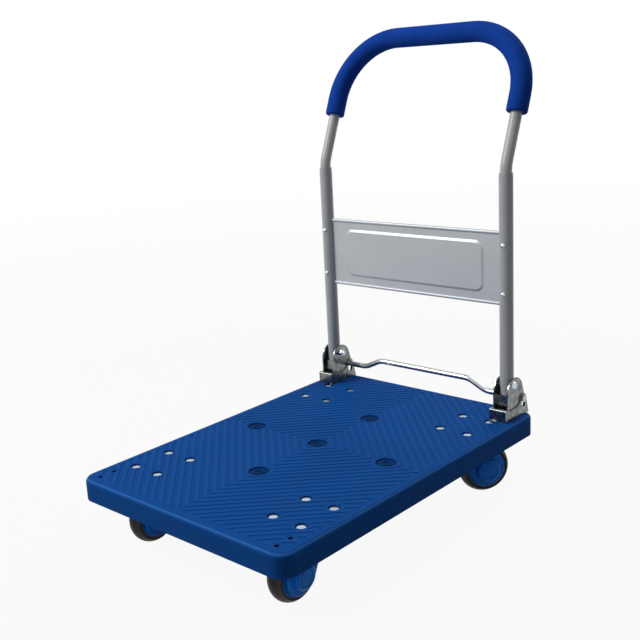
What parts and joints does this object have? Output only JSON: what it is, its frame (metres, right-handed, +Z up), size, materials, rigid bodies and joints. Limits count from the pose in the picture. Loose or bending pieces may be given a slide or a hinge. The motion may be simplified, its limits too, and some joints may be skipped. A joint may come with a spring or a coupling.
{
  "type": "folding platform cart",
  "caption": "Platform cart with a blue moulded anti-slip deck, silver tube handle that folds flat onto it, foam grip, foot release bar and blue nylon swivel casters.",
  "frame": {"origin": "On the floor, midway across the deck and midway between the deck's front edge and the back of the foam grip.", "axes": "+Z up; +Y towards the handle end; +X to the right when facing the handle from the deck."},
  "size_m": [0.5, 0.8052, 0.8941],
  "materials": {
    "deck_blue": "textured moulded",
    "fork_blue": "smooth moulded",
    "foam_blue": "soft closed-cell foam",
    "tyre_grey": "matt",
    "core_blue": "smooth moulded",
    "cap_blue": "smooth moulded",
    "tube_silver": "satin powder coat",
    "panel_silver": "satin powder coat",
    "zinc_plate": "bright zinc plated",
    "bolt_steel": "bright zinc plated",
    "bearing_steel": "ground"
  },
  "bodies": {
    "root": {"deck": "deck_blue", "caster_bolts": "bolt_steel", "caster_nuts": "bolt_steel", "bracket_bolts": "bolt_steel", "bracket_nuts": "bolt_steel", "pivot_nuts": "bolt_steel", "swivel_plates": "zinc_plate", "thrust_rings": "bearing_steel", "kingpins": "bolt_steel", "hinge_base_left": "zinc_plate", "hinge_ears_left": "zinc_plate", "pivot_bolt_left": "bolt_steel", "release_spring_left": "bolt_steel", "hinge_base_right": "zinc_plate", "hinge_ears_right": "zinc_plate", "pivot_bolt_right": "bolt_steel", "release_spring_right": "bolt_steel"},
    "handle": {"handle_bow": "tube_silver", "foam_grip": "foam_blue", "panel": "panel_silver", "panel_screws": "bolt_steel", "leg_left": "tube_silver", "leg_right": "tube_silver", "leg_bush_left": "bearing_steel", "leg_bush_right": "bearing_steel", "lock_tongue_left": "zinc_plate", "lock_tongue_right": "zinc_plate"},
    "foot_bar": {"release_bar": "zinc_plate", "lock_sleeve_left": "zinc_plate", "lock_sleeve_right": "zinc_plate"},
    "swivel_front_left": {"swivel_fork_front_left": "fork_blue", "axle_front_left": "bolt_steel", "axle_nut_front_left": "bolt_steel", "hub_caps_front_left": "cap_blue"},
    "wheel_front_left": {"tyre_front_left": "tyre_grey", "wheel_core_front_left": "core_blue", "wheel_bearings_front_left": "bearing_steel"},
    "swivel_front_right": {"swivel_fork_front_right": "fork_blue", "axle_front_right": "bolt_steel", "axle_nut_front_right": "bolt_steel", "hub_caps_front_right": "cap_blue"},
    "wheel_front_right": {"tyre_front_right": "tyre_grey", "wheel_core_front_right": "core_blue", "wheel_bearings_front_right": "bearing_steel"},
    "swivel_rear_left": {"swivel_fork_rear_left": "fork_blue", "axle_rear_left": "bolt_steel", "axle_nut_rear_left": "bolt_steel", "hub_caps_rear_left": "cap_blue"},
    "wheel_rear_left": {"tyre_rear_left": "tyre_grey", "wheel_core_rear_left": "core_blue", "wheel_bearings_rear_left": "bearing_steel"},
    "swivel_rear_right": {"swivel_fork_rear_right": "fork_blue", "axle_rear_right": "bolt_steel", "axle_nut_rear_right": "bolt_steel", "hub_caps_rear_right": "cap_blue"},
    "wheel_rear_right": {"tyre_rear_right": "tyre_grey", "wheel_core_rear_right": "core_blue", "wheel_bearings_rear_right": "bearing_steel"}
  },
  "joints": [
    {"name": "handle_fold", "type": "hinge", "parent": "root", "child": "handle", "pos_m": [0, 0.28341, 0.207], "axis": [1, 0, 0], "range_deg": [0, 97]},
    {"name": "foot_release", "type": "slide", "parent": "root", "child": "foot_bar", "axis": [0, 0, -1], "range_m": [0, 0.012], "stiffness_N_per_m": 1500, "springref_m": -0.01, "deforming": ["release_spring_left", "release_spring_right"]},
    {"name": "swivel_front_left", "type": "hinge", "parent": "root", "child": "swivel_front_left", "pos_m": [-0.173, -0.26859, 0], "axis": [0, 0, 1], "continuous": true},
    {"name": "wheel_front_left", "type": "hinge", "parent": "swivel_front_left", "child": "wheel_front_left", "pos_m": [-0.173, -0.30459, 0.05], "axis": [1, 0, 0], "continuous": true},
    {"name": "swivel_front_right", "type": "hinge", "parent": "root", "child": "swivel_front_right", "pos_m": [0.173, -0.26859, 0], "axis": [0, 0, 1], "continuous": true},
    {"name": "wheel_front_right", "type": "hinge", "parent": "swivel_front_right", "child": "wheel_front_right", "pos_m": [0.173, -0.30459, 0.05], "axis": [1, 0, 0], "continuous": true},
    {"name": "swivel_rear_left", "type": "hinge", "parent": "root", "child": "swivel_rear_left", "pos_m": [-0.173, 0.20341, 0], "axis": [0, 0, 1], "continuous": true},
    {"name": "wheel_rear_left", "type": "hinge", "parent": "swivel_rear_left", "child": "wheel_rear_left", "pos_m": [-0.19365, 0.2329, 0.05], "axis": [-0.8192, -0.5736, 0], "continuous": true},
    {"name": "swivel_rear_right", "type": "hinge", "parent": "root", "child": "swivel_rear_right", "pos_m": [0.173, 0.20341, 0], "axis": [0, 0, 1], "continuous": true},
    {"name": "wheel_rear_right", "type": "hinge", "parent": "swivel_rear_right", "child": "wheel_rear_right", "pos_m": [0.19365, 0.2329, 0.05], "axis": [-0.8192, 0.5736, 0], "continuous": true}
  ]
}
